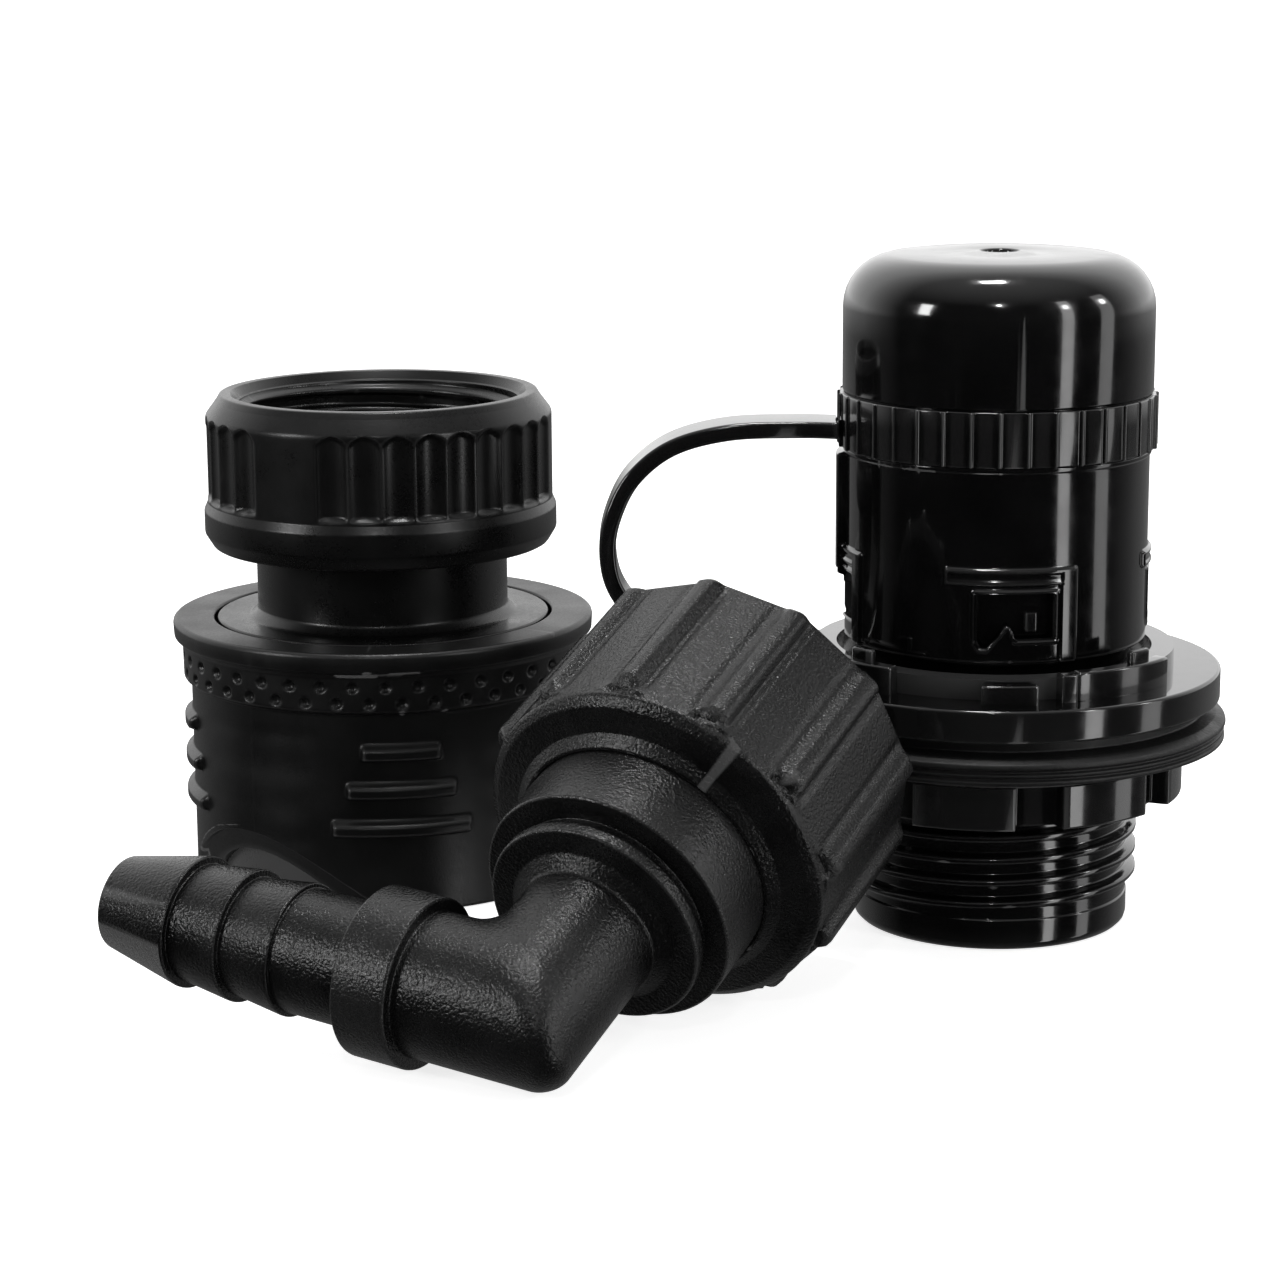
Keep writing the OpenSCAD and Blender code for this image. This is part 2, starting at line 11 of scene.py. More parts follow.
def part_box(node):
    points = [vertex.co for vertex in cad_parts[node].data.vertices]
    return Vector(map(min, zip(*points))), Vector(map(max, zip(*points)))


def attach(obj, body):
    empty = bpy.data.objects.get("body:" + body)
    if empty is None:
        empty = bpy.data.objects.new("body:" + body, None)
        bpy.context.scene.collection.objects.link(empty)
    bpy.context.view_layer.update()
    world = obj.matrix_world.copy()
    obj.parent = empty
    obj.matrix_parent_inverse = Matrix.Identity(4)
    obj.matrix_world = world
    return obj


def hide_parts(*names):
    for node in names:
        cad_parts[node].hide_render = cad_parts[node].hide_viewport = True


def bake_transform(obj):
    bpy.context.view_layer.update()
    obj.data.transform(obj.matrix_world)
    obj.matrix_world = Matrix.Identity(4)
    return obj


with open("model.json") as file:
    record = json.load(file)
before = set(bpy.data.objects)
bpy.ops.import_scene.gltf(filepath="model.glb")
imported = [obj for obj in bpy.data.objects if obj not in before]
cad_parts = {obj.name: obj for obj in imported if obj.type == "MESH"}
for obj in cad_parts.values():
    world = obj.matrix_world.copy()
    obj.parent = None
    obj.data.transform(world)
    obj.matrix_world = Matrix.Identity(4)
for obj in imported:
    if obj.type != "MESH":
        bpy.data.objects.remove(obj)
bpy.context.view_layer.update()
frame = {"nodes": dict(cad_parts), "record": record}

MM = 0.001
RECORD = frame["record"]
JOINTS = {joint["name"]: joint for joint in RECORD["behaviour"]["joints"]}
MOUNTS = {mount["name"]: mount for mount in RECORD["mounts"]}


def in_mm(node):
    low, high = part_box(node)
    return np.array(low) / MM, np.array(high) / MM


# ---------------------------------------------------------------- shapes, in millimetres

def unit(v):
    return v / max(np.linalg.norm(v), 1e-9)


def round_corner(before, here, after, radius, steps):
    """Points of an arc that replaces the corner at here."""
    to_before, to_after = unit(before - here), unit(after - here)
    half = math.acos(max(-1.0, min(1.0, float(to_before @ to_after)))) / 2
    if radius <= 0 or half > 1.54 or half < 0.02:
        return [here]
    room = 0.48 * min(np.linalg.norm(before - here), np.linalg.norm(after - here))
    reach = min(radius / math.tan(half), room)
    radius = reach * math.tan(half)
    centre = here + unit(to_before + to_after) * math.hypot(reach, radius)
    start, end = here + to_before * reach - centre, here + to_after * reach - centre
    sweep = math.pi - 2 * half
    points = []
    for i in range(steps + 1):
        t = i / steps
        a, b = math.sin((1 - t) * sweep), math.sin(t * sweep)
        points.append(centre + (a * start + b * end) / math.sin(sweep))
    return points


def outline(points, radius=0.2, steps=3):
    """A closed outline with round corners. A point may carry a radius of its own as a third number."""
    flat = [np.array(point[:2], float) for point in points]
    out = []
    for i, point in enumerate(points):
        own = point[2] if len(point) > 2 else radius
        arc_steps = steps if own < 1.5 else 3 * steps
        out += round_corner(flat[i - 1], flat[i], flat[(i + 1) % len(flat)], own, arc_steps)
    return np.array(out)


def divided(line, step, inside):
    """A closed outline with more points on the edges whose middle is inside."""
    out = []
    for i, here in enumerate(line):
        there = line[(i + 1) % len(line)]
        parts = 1
        if inside(*(here + there) / 2):
            parts = max(1, math.ceil(np.linalg.norm(there - here) / step))
        out += [here + (there - here) * k / parts for k in range(parts)]
    return np.array(out)


def azimuths(count, edges=(), width=0.5):
    """Azimuths once round in degrees, with closely spaced ones at each edge."""
    base = list(np.linspace(-180, 180, count, endpoint=False))
    for edge in edges:
        edge = (edge + 180) % 360 - 180
        base = [a for a in base if abs((a - edge + 180) % 360 - 180) > 1.2 * width]
        base += [(edge + shift * width + 180) % 360 - 180 for shift in (-1, -0.5, 0, 0.5, 1)]
    return np.array(sorted(set(np.round(base, 5))))


def skin(rings, loop):
    """Quads between rings of points; the rings close on themselves, and a loop joins last to first."""
    rings = np.asarray(rings, float)
    rows, cols = rings.shape[:2]
    index = np.arange(rows * cols).reshape(rows, cols)
    last = rows if loop else rows - 1
    here, there = index[np.arange(last)], index[(np.arange(last) + 1) % rows]
    faces = np.stack([here, np.roll(here, -1, 1), np.roll(there, -1, 1), there], 2).reshape(-1, 4).tolist()
    if not loop:
        faces += [index[0][::-1].tolist(), index[-1].tolist()]
    return rings.reshape(-1, 3), faces


def lathe(line, turns, shape=None):
    """A closed outline of (radius, height) turned round +Z. Azimuth 0 is -Y, and 90 is +X."""
    radius, turn = np.meshgrid(line[:, 0], turns, indexing="ij")
    height = np.repeat(line[:, 1][:, None], len(turns), 1)
    if shape:
        radius, height = shape(radius, turn, height)
    a = np.radians(turn)
    return skin(np.stack([radius * np.sin(a), -radius * np.cos(a), height], 2), loop=True)


def ring_block(outer, inner, low, high, start, end, radius=0.25):
    """A block of a ring between two azimuths, with round edges."""
    section = outline([(inner, low), (outer, low), (outer, high), (inner, high)], radius)
    middle = section.mean(0)
    ease = math.degrees(radius / outer)
    full_turns = list(np.linspace(start + ease, end - ease, 12))
    turns = [start, start + 0.3 * ease] + full_turns + [end - 0.3 * ease, end]
    shrink = [radius, 0.3 * radius] + [0] * 12 + [0.3 * radius, radius]
    rings = []
    for turn, by in zip(turns, shrink):
        inset = middle + (section - middle) * (1 - by / np.abs(section - middle).max(0))
        a = math.radians(turn)
        rings.append([(r * math.sin(a), -r * math.cos(a), z) for r, z in inset])
    return skin(rings, loop=False)


def joined(*chunks):
    points, faces, base = [], [], 0
    for some_points, some_faces in chunks:
        points.append(some_points)
        faces += [[i + base for i in face] for face in some_faces]
        base += len(some_points)
    return np.vstack(points), faces


def near(turn, centre):
    """Signed angle from centre, in degrees."""
    return (turn - centre + 180) % 360 - 180


def ramp(x):
    x = np.clip(x, 0, 1)
    return x * x * (3 - 2 * x)


def pad(u, v, half_u, half_v, ease):
    """1 inside a rectangle and 0 outside, with soft edges of width ease."""
    return ramp((half_u - np.abs(u)) / ease + 0.5) * ramp((half_v - np.abs(v)) / ease + 0.5)


def thread_height(height, turn, pitch, first, crest=0.15, foot=0.62):
    """1 on the crest of a right-hand thread and 0 at its root."""
    gap = np.abs(((height - first) / pitch - turn / 360 + 0.5) % 1 - 0.5) * pitch
    return ramp((foot - gap) / (foot - crest))


# ---------------------------------------------------------------- materials

def node(tree, kind, **values):
    made = tree.nodes.new(kind)
    for key, value in values.items():
        if key in made.inputs.keys():
            made.inputs[key].default_value = value
        else:
            setattr(made, key, value)
    return made


def noise(tree, where, scale_mm, detail=3.0):
    made = node(tree, "ShaderNodeTexNoise", Scale=1 / (scale_mm * MM), Detail=detail)
    tree.links.new(where.outputs["Object"], made.inputs["Vector"])
    return made.outputs["Fac"]


def mapped(tree, value, low, high, from_low=0.3, from_high=0.7):
    made = node(tree, "ShaderNodeMapRange")
    made.inputs["From Min"].default_value = from_low
    made.inputs["From Max"].default_value = from_high
    made.inputs["To Min"].default_value = low
    made.inputs["To Max"].default_value = high
    tree.links.new(value, made.inputs["Value"])
    return made.outputs["Result"]


def moulded(name, dark, light, rough, grain_mm, grain_depth, cloud_mm=6.0,
             edge_highlight=0.0, metallic=0.0, specular=0.5,
            coat=0.0):
    """A moulded surface: clouded colour, uneven gloss, fine grain, and a painted highlight that makes convex
    edges paler.
    """
    material = bpy.data.materials.new(name)
    material.use_nodes = True
    tree = material.node_tree
    shader = tree.nodes["Principled BSDF"]
    shader.inputs["Metallic"].default_value = metallic
    shader.inputs["Specular IOR Level"].default_value = specular
    shader.inputs["Coat Weight"].default_value = coat
    shader.inputs["Coat Roughness"].default_value = 0.06
    where = node(tree, "ShaderNodeTexCoord")
    cloud = noise(tree, where, cloud_mm)
    grain = noise(tree, where, grain_mm, 2.0)
    colour = node(tree, "ShaderNodeMix", data_type="RGBA")
    colour.inputs[6].default_value = (*dark, 1)
    colour.inputs[7].default_value = (*light, 1)
    tree.links.new(mapped(tree, cloud, 0, 1), colour.inputs[0])
    result = colour.outputs[2]
    # Painted highlight: the base colour turns paler on convex edges, standing in for light catching the rims.
    if edge_highlight:
        edge = node(tree, "ShaderNodeNewGeometry").outputs["Pointiness"]
        edge_lit = node(tree, "ShaderNodeMix", data_type="RGBA")
        edge_lit.inputs[7].default_value = (*[min(1, c + edge_highlight) for c in light], 1)
        tree.links.new(mapped(tree, edge, 0, 1, 0.52, 0.62), edge_lit.inputs[0])
        tree.links.new(result, edge_lit.inputs[6])
        result = edge_lit.outputs[2]
    tree.links.new(result, shader.inputs["Base Color"])
    both = node(tree, "ShaderNodeMath", operation="ADD")
    tree.links.new(mapped(tree, cloud, rough[0], rough[1]), both.inputs[0])
    tree.links.new(mapped(tree, grain, -0.04, 0.04), both.inputs[1])
    tree.links.new(both.outputs[0], shader.inputs["Roughness"])
    bump = node(tree, "ShaderNodeBump", Strength=1.0, Distance=grain_depth * MM)
    tree.links.new(grain, bump.inputs["Height"])
    tree.links.new(bump.outputs["Normal"], shader.inputs["Normal"])
    return material


def grey(level):
    return (level, level, level * 1.03)


# The edge setting of each material is the strength of its painted edge highlight.
MATERIALS = {
    "gloss_black": moulded("gloss_black", grey(0.0015), grey(0.003), (0.09, 0.16),
                          1.8, 0.004, edge_highlight=0.05, coat=0.6),
    "satin_black": moulded("satin_black", grey(0.0016), grey(0.003), (0.26, 0.36), 0.25, 0.006, edge_highlight=0.04),
    "soft_black": moulded("soft_black", grey(0.002), grey(0.004), (0.32, 0.42), 0.18, 0.008, edge_highlight=0.05),
    "grain_black": moulded("grain_black", grey(0.0015), grey(0.004), (0.20, 0.32), 0.24, 0.085, edge_highlight=0.04),
    "seal_rubber": moulded("seal_rubber", grey(0.003), grey(0.006), (0.4, 0.55), 0.35, 0.035, cloud_mm=3.0),
    "acetal_grey": moulded("acetal_grey", (0.42, 0.42, 0.40), (0.50, 0.50, 0.48), (0.35, 0.5), 0.3, 0.006),
    "spring_steel": moulded("spring_steel", (0.5, 0.5, 0.52), (0.62, 0.62, 0.64), (0.2, 0.35), 0.2, 0.003,
                            metallic=1.0),
}
SLOTS = {part["node"]: part["material_slot"] for part in RECORD["subparts"]}
for name, cad_object in frame["nodes"].items():
    for material_slot in cad_object.material_slots:
        material_slot.material = MATERIALS[SLOTS[name]]


def piece(name, body, nodes, chunks, place=Matrix.Identity(4), material=None):
    """One detailed object that stands for CAD nodes and rides on their body."""
    points, faces = joined(*chunks)
    mesh = bpy.data.meshes.new(name)
    mesh.from_pydata([place @ (Vector(point) * MM) for point in points], [], faces)
    made = bpy.data.objects.new(name, mesh)
    bpy.context.scene.collection.objects.link(made)
    work = bmesh.new()
    work.from_mesh(mesh)
    bmesh.ops.recalc_face_normals(work, faces=work.faces)
    work.to_mesh(mesh)
    work.free()
    mesh.shade_smooth()
    slot = material or SLOTS[nodes[0]]
    mesh.materials.append(MATERIALS[slot])
    if body:
        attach(made, body)
    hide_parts(*nodes)
    return made


def weight_normals(made):
    modifier = made.modifiers.new("flat faces", "WEIGHTED_NORMAL")
    modifier.weight = 80
    modifier.keep_sharp = False


# ---------------------------------------------------------------- valve

SKIRT_R = 13.6
SKIRT_LOW, CAP_TOP = in_mm("cap")[0][2], in_mm("cap")[1][2]
CAP_R = 13.82
RING_LOW, RING_HIGH = in_mm("tether_cap_ring")[0][2], in_mm("tether_cap_ring")[1][2]
WINDOW_TURN = 2.2
WINDOW_LOW, WINDOW_HIGH = 28.5, 32.6
QUARTERS = (0, 90, 180, 270)
WALL_QUARTERS = (-90, 0)
DEGREE_MM = math.radians(SKIRT_R)


def window_outline():
    """Corners of a bayonet window: distance round the skirt from the window's own centre, and height."""
    return [(-15.1, WINDOW_HIGH), (-15.1, 28.3), (-13.4, 27.75), (-11.2, 27.75), (-4.4, 29.7), (-2.6, 29.75),
            (-0.3, WINDOW_LOW), (15.1, WINDOW_LOW), (15.1, WINDOW_HIGH)]


def distance_to(points, u, z):
    """Distance in millimetres from each (u, z) to a closed outline given in degrees and millimetres."""
    best = np.full(u.shape, 1e9)
    for i, (au, az) in enumerate(points):
        bu, bz = points[(i + 1) % len(points)]
        au, bu = au * DEGREE_MM, bu * DEGREE_MM
        du, dz = bu - au, bz - az
        t = np.clip(((u * DEGREE_MM - au) * du + (z - az) * dz) / (du * du + dz * dz), 0, 1)
        best = np.minimum(best, np.hypot(u * DEGREE_MM - au - t * du, z - az - t * dz))
    return best


def cap_shape(radius, turn, height):
    skirt = (radius > SKIRT_R - 0.3) & (height < RING_LOW - 0.4)
    inner = (radius < 12.7) & (height < WINDOW_HIGH)
    raised = np.zeros(radius.shape)
    channel = np.zeros(radius.shape)
    for quarter in QUARTERS:
        u = near(turn, WINDOW_TURN + quarter)
        v = u * DEGREE_MM
        bar = pad(v + 1.85 * DEGREE_MM, height - 34.0, 24.3 * DEGREE_MM, 0.7, 0.22)
        groove = pad(v + 1.85 * DEGREE_MM, height - 34.0, 23.3 * DEGREE_MM, 0.28, 0.25)
        strip = pad(v - 19.5 * DEGREE_MM, height - 30.3, 3 * DEGREE_MM, 4.4, 0.22)
        rim = np.exp(-((distance_to(window_outline(), u, height) - 0.16) / 0.15) ** 2) * (np.abs(u) < 24)
        raised = np.maximum(raised, 0.35 * bar - 0.14 * groove)
        raised = np.maximum(raised, np.maximum(0.35 * strip, 0.2 * rim))
        channel = np.maximum(channel, ramp((15.3 - np.abs(u)) / 0.8 + 0.5))
    side = pad(near(turn, -95) * DEGREE_MM, height - 37.1, 9 * DEGREE_MM, 5.9, 0.25)
    raised = np.maximum(raised, 0.75 * side)
    radius = radius + np.where(skirt, raised, 0)
    radius = radius + np.where(inner, channel * 0.52, 0)
    return radius, height


def make_cap():
    line = outline([
        (12.5, SKIRT_LOW, 0.2), (SKIRT_R, SKIRT_LOW, 0.25), (SKIRT_R, RING_LOW - 0.6, 0.1),
        (SKIRT_R + 0.14, RING_LOW - 0.45, 0.1), (SKIRT_R + 0.14, RING_LOW - 0.15, 0.1),
        (SKIRT_R, RING_LOW, 0.05),
        (SKIRT_R, RING_HIGH + 0.1, 0.05), (CAP_R, RING_HIGH + 0.25, 0.1), (CAP_R, CAP_TOP - 0.45, 4.6),
        (1.6, CAP_TOP, 0.3), (1.6, CAP_TOP - 1.8, 0.3), (12.5, CAP_TOP - 1.8, 3.4)])
    line = divided(line, 0.14, lambda r, z: z < 35.4 and r > 13)
    line = divided(line, 0.4, lambda r, z: 35.4 <= z < RING_LOW and r > 13)
    line = divided(line, 0.6, lambda r, z: z < 35.4 and r <= 13)
    made = piece("cap_shell", "cap_unit", ["cap"], [lathe(line, azimuths(640), cap_shape)])
    corners = outline([(u * DEGREE_MM, z) for u, z in window_outline()], 0.3, 4)
    cutters = []
    for quarter in QUARTERS:
        a = math.radians(WINDOW_TURN + quarter)
        side, out = np.array([math.cos(a), math.sin(a), 0]), np.array([math.sin(a), -math.cos(a), 0])
        rings = [[side * u * reach / SKIRT_R + out * reach + np.array([0, 0, z]) for u, z in corners]
                 for reach in (9, 17)]
        cutters.append(skin(rings, loop=False))
    cutters.append(ring_block(15, 11, SKIRT_LOW - 1, 30.6, -104, -86, 0.2))
    points, faces = joined(*cutters)
    mesh = bpy.data.meshes.new("window_cutter")
    mesh.from_pydata([Vector(point) * MM for point in points], [], faces)
    cutter = bpy.data.objects.new("window_cutter", mesh)
    bpy.context.scene.collection.objects.link(cutter)
    work = bmesh.new()
    work.from_mesh(mesh)
    bmesh.ops.recalc_face_normals(work, faces=work.faces)
    work.to_mesh(mesh)
    work.free()
    cut = made.modifiers.new("windows", "BOOLEAN")
    cut.object = cutter
    cut.solver = "EXACT"
    # The window and notch cutters overlap, so the solver has to resolve them against each other.
    cut.use_self = True
    bpy.context.view_layer.update()
    baked = bpy.data.meshes.new_from_object(made.evaluated_get(bpy.context.evaluated_depsgraph_get()))
    made.modifiers.clear()
    made.data = baked
    bpy.data.objects.remove(cutter)
    made.data.shade_smooth()
    made.data.set_sharp_from_angle(angle=math.radians(50))


def make_tether_ring():
    rib_turn, rib_half = 5, 0.5
    steps = (-5, -3, -1.5, -0.85, -0.6, -0.3, 0, 0.3, 0.6, 0.85, 1.5, 3)
    turns = [10 * i + rib_turn + step for i in range(36) for step in steps]

    def shape(radius, turn, height):
        off = (turn - rib_turn + 5) % 10 - 5
        rib = ramp((rib_half - np.abs(off)) / 0.6 + 0.5)
        return radius + np.where(radius > 13.85, 0.24 * rib, 0), height

    line = outline([(13.66, RING_LOW), (14.05, RING_LOW, 0.12), (14.05, RING_HIGH, 0.12),
                    (13.66, RING_HIGH)], 0.08)
    piece("tether_ring", "tether_head", ["tether_cap_ring"], [lathe(line, np.array(turns), shape)])


def make_strap():
    route = [(-14.3, 45.2), (-18, 45.3), (-24, 45.1), (-29, 43.8), (-32.4, 41.2), (-34.2, 38), (-34.9, 34.6),
             (-34.2, 31), (-31.6, 27.9), (-27.2, 25.9), (-22, 25.0), (-16.1, 24.75)]
    knots = [np.array(point, float) for point in route]
    path = []
    for i in range(len(knots) - 1):
        a, b, c, d = (knots[max(0, min(len(knots) - 1, i + k))] for k in (-1, 0, 1, 2))
        for t in np.arange(0, 1, 0.125):
            path.append(0.5 * (2 * b + (c - a) * t + (2 * a - 5 * b + 4 * c - d) * t * t
                               + (3 * b - a - 3 * c + d) * t ** 3))
    path.append(knots[-1])
    section = outline([(-0.75, -2.7), (0.75, -2.7), (0.75, 2.7), (-0.75, 2.7)], 0.3)
    rings = []
    for i, point in enumerate(path):
        along = unit(path[min(i + 1, len(path) - 1)] - path[max(i - 1, 0)])
        side = np.array([-along[1], along[0]])
        rings.append([(point[0] + side[0] * t, w, point[1] + side[1] * t) for t, w in section])
    made = piece("strap", None, ["tether_strap"], [skin(rings, loop=False)])
    weight_normals(made)
    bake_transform(made)


def make_inlet():
    flange_r, flange_low, flange_top = 20.4, 20.9, 23.8
    root_r, first = 12.32, 4.5

    def shape(radius, turn, height):
        male = (np.abs(radius - root_r) < 0.01) & (height > 3.0) & (height < 12.0)
        ends = ramp((height - 3.2) / 0.7) * ramp((11.9 - height) / 0.7)
        return radius + np.where(male, 0.9 * thread_height(height, turn, 2.0, first) * ends, 0), height

    line = outline([
        (9.5, 0, 0.3), (12.45, 0, 0.85), (12.45, 2.8, 0.15), (root_r, 2.95, 0.05), (root_r, 12.05, 0.05),
        (13.02, 12.15, 0.15), (13.02, flange_low, 0.1), (flange_r, flange_low, 0.3),
        (flange_r, flange_top, 0.3),
        (12.25, flange_top, 0.4), (12.25, 33, 0.4), (7.9, 33, 0.1), (7.9, 29, 0.1), (6.2, 29, 0.1),
        (6.2, 13.6, 0.1), (9.5, 13.6, 0.1)])
    line = divided(line, 0.1, lambda r, z: abs(r - root_r) < 0.05 and 2.9 < z < 12.1)
    blocks = []
    for quarter in WALL_QUARTERS:
        blocks.append(ring_block(17.7, 16.3, 23.6, 26.3, 18.2 + quarter, 53.8 + quarter))
        blocks.append(ring_block(17.9, 16.3, 23.6, 26.2, 13.2 + quarter, 18.0 + quarter, 0.15))
        blocks.append(ring_block(17.2, 16.5, 26.1, 27.4, 38 + quarter, 46 + quarter, 0.2))
    for quarter in QUARTERS:
        blocks.append(ring_block(13, 11.7, 29.1, 30.8, 5.9 + quarter, 10.7 + quarter, 0.15))
    for quarter in QUARTERS[::2]:
        blocks.append(ring_block(18.3, 16.3, 23.6, 25.5, quarter - 9.3, quarter + 6.5, 0.2))
    made = piece("inlet", "root", ["inlet_body"], [lathe(line, azimuths(240), shape), *blocks])
    weight_normals(made)


def make_gasket():
    line = outline([
        (13.3, 17.2), (20.4, 17.2, 0.2), (20.9, 17.4, 0.2), (20.9, 17.7, 0.15), (20.45, 17.9, 0.1),
        (20.85, 18.1, 0.1), (20.85, 18.3, 0.1), (20.45, 18.5, 0.1), (21.0, 18.8, 0.15), (20.9, 19.2, 0.25),
        (20.1, 19.6, 0.4), (18.8, 19.8, 0.2), (18.8, 20.9), (13.3, 20.9)], 0.1)
    made = piece("gasket", "root", ["panel_gasket"], [lathe(line, azimuths(180))])
    weight_normals(made)


def make_lock_ring():
    centre, half = 30.8, 15.5
    edges = [centre + 45 * i + side * half for i in range(8) for side in (-1, 1)]

    def shape(radius, turn, height):
        off = (turn - centre + 22.5) % 45 - 22.5
        block = ramp((half - np.abs(off)) / 0.8 + 0.5)
        outer = radius > 14.5
        return radius - np.where(outer, (1 - block) * 1.7, 0), height

    line = outline([(13.28, 12.3, 0.2), (17.2, 12.3, 0.25), (17.2, 16.2, 0.15), (13.28, 16.2, 0.1)])
    made = piece("slotted_ring", "ring_nut", ["lock_ring"], [lathe(line, azimuths(144, edges, 0.4), shape)],
                 material="gloss_black")
    weight_normals(made)


# ---------------------------------------------------------------- quick coupling

NUT_BOX = in_mm("coupling_nut")
COUPLING = (NUT_BOX[0] + NUT_BOX[1]) / 2
AT_COUPLING = Matrix.Translation((COUPLING[0] * MM, COUPLING[1] * MM, 0))


def make_coupling_nut():
    nut_r, low, top = 16.4, NUT_BOX[0][2], NUT_BOX[1][2]
    flute_gap, flutes = 10.7, 9

    def shape(radius, turn, height):
        third = (turn + 16.5) % 120
        across = (third % flute_gap) - flute_gap / 2
        inside = third < flute_gap * flutes
        half_mm = flute_gap / 2 * math.radians(nut_r)
        off = np.abs(across) * math.radians(nut_r) / half_mm
        bowl = np.clip(1 - off ** 2, 0, 1) ** 0.8
        crown = 44.3 - 0.9 * off ** 2
        ends = ramp((crown - height) / 0.5) * ramp((height - 36.2) / 0.5)
        wall = (radius > 15.9) & inside
        radius = radius - np.where(wall, 0.55 * bowl * ends, 0)
        female = (np.abs(radius - 13.28) < 0.02) & (height > 38.3)
        crest = thread_height(height, turn, 2.0, 39.4, crest=0.15, foot=0.6)
        ends = ramp((height - 38.4) / 0.6) * ramp((45.2 - height) / 0.6)
        return radius - np.where(female, 0.7 * crest * ends, 0), height

    line = outline([
        (12.01, low, 0.2), (nut_r - 0.5, low, 0.6), (nut_r + 0.35, low + 1.4, 0.6), (nut_r + 0.35, 35.2, 0.6),
        (nut_r, 36.0, 0.3), (nut_r, 44.2, 0.9), (15.35, 45.6, 0.4), (15.0, top, 0.25), (14.0, top, 0.15),
        (13.5, 45.4, 0.15), (13.28, 45.3, 0.05), (13.28, 34.1, 0.1), (12.01, 34.1, 0.1)])
    line = divided(line, 0.16, lambda r, z: (r > 16 and 35.8 < z < 44.6) or (13.2 < r < 13.4 and z > 38))
    made = piece("fluted_nut", "tap_nut", ["coupling_nut"], [lathe(line, azimuths(480), shape)], AT_COUPLING)
    weight_normals(made)


def make_coupling_body():
    line = outline([
        (8.75, 4.4, 0.2), (9.9, 3.6, 0.15), (11.5, 3.6, 0.3), (11.5, 18.8, 0.3), (13.9, 20.8, 0.3),
        (13.9, 22.3, 0.1),
        (15.85, 22.3, 0.1), (15.85, 24.9, 0.25), (12.7, 24.9, 0.5), (11.95, 25.7, 0.5), (11.95, 34.1, 0.1),
        (10.9, 34.1, 0.1), (10.9, 35.3, 0.1), (11.95, 35.3, 0.1), (11.95, 36, 0.2), (6.8, 36, 0.2),
        (6.8, 22.0, 0.1), (4.6, 20.1, 0.1), (4.6, 18.2, 0.1), (8.75, 18.2, 0.1), (8.75, 15.4, 0.1),
        (9.95, 15.4, 0.1),
        (9.95, 13.2, 0.1), (8.75, 13.2, 0.1)])
    made = piece("neck_and_socket", "coupling", ["coupling_body"], [lathe(line, azimuths(160))], AT_COUPLING)
    weight_normals(made)


def arch(turn):
    """Height of the sleeve's lower edge at an azimuth."""
    rise = np.zeros(turn.shape)
    for centre in (ARCH_TURN, ARCH_TURN + 180):
        off = np.clip(np.abs(near(turn, centre)) / 46, 0, 1)
        rise = np.maximum(rise, 6.9 * np.cos(off * math.pi / 2) ** 1.2)
    return rise


def sleeve_shape(radius, turn, height):
    sleeve_r, free_to = 18.5, 7.2
    outer = radius > 17.6
    edge = np.where(outer, arch(turn), np.maximum(arch(turn) - 2.2, 0))
    height = np.where(height < free_to, edge + height * (free_to - edge) / free_to, height)
    wall = (radius > sleeve_r - 0.05) & (height < 18.8)
    bars = np.zeros(radius.shape)
    for quarter in QUARTERS:
        for k in range(3):
            across = near(turn, BAR_TURN + quarter) * math.radians(sleeve_r)
            half = (11 + 4.4 * k) * math.radians(sleeve_r)
            rise = height - 15.35 + 3.6 * k
            ridge = ramp((0.95 - rise) / 0.8) * ramp((rise + 0.85) / 0.35)
            bars = np.maximum(bars, ridge * ramp((half - np.abs(across)) / 0.5 + 0.5))
    side = ramp((24 - np.abs((turn - BAR_TURN) % 90 - 45)) / 8)
    waves = (side * np.cos(2 * math.pi * (height - 15.35) / 3.6)
             * ramp((height - 5) / 2) * ramp((18 - height) / 2))
    radius = radius + np.where(wall, 0.75 * bars + 0.03 * waves, 0)
    band = (radius > 19.1) & (height > 19.2) & (height < 22.6)
    dimples = np.zeros(radius.shape)
    for row, shift in ((21.6, 4.5), (20.1, 0)):
        across = ((turn - shift + 4.5) % 9 - 4.5) * math.radians(19.2)
        dimples = np.maximum(dimples, ramp((0.62 - np.hypot(across, height - row)) / 0.35))
    radius = radius - np.where(band, 0.4 * dimples, 0)
    seams = np.minimum(np.abs(near(turn, -37)), np.abs(near(turn, 143)))
    seam = ramp((0.35 - seams) / 0.3) * (radius > 18.3) * (height < 22.5)
    return radius + 0.06 * seam, height


ARCH_TURN, BAR_TURN = -40.5, 8.6


def make_sleeve():
    line = outline([
        (16.15, 0.3, 0.15), (18.5, 0, 0.3), (18.5, 18.9, 0.3), (19.2, 19.3, 0.35), (19.25, 22.5, 0.3),
        (19.6, 22.9, 0.1), (20.0, 23.2, 0.3), (20.1, 24.9, 0.45), (16.15, 24.9, 0.25)])
    line = divided(line, 0.14, lambda r, z: r > 18.3 and 5 < z < 22.6)
    line = divided(line, 0.5, lambda r, z: z <= 5 or r < 17)
    made = piece("soft_sleeve", "release_sleeve", ["grip_sleeve"],
                 [lathe(line, azimuths(600), sleeve_shape)], AT_COUPLING)
    weight_normals(made)


# ---------------------------------------------------------------- elbow

NUT_AXIS = Vector(JOINTS["swivel_turn"]["axis"]).normalized()
BARB_AXIS = Vector(MOUNTS["hose_barb"]["axis"]).normalized()
CORNER_TO_NUT = 30
CORNER = Vector(JOINTS["swivel_turn"]["pos_m"]) - NUT_AXIS * CORNER_TO_NUT * MM
AT_ELBOW = Matrix.Translation(CORNER) @ Matrix(
    (BARB_AXIS.cross(NUT_AXIS), BARB_AXIS, NUT_AXIS)).transposed().to_4x4()
TUBE_R = 6.0


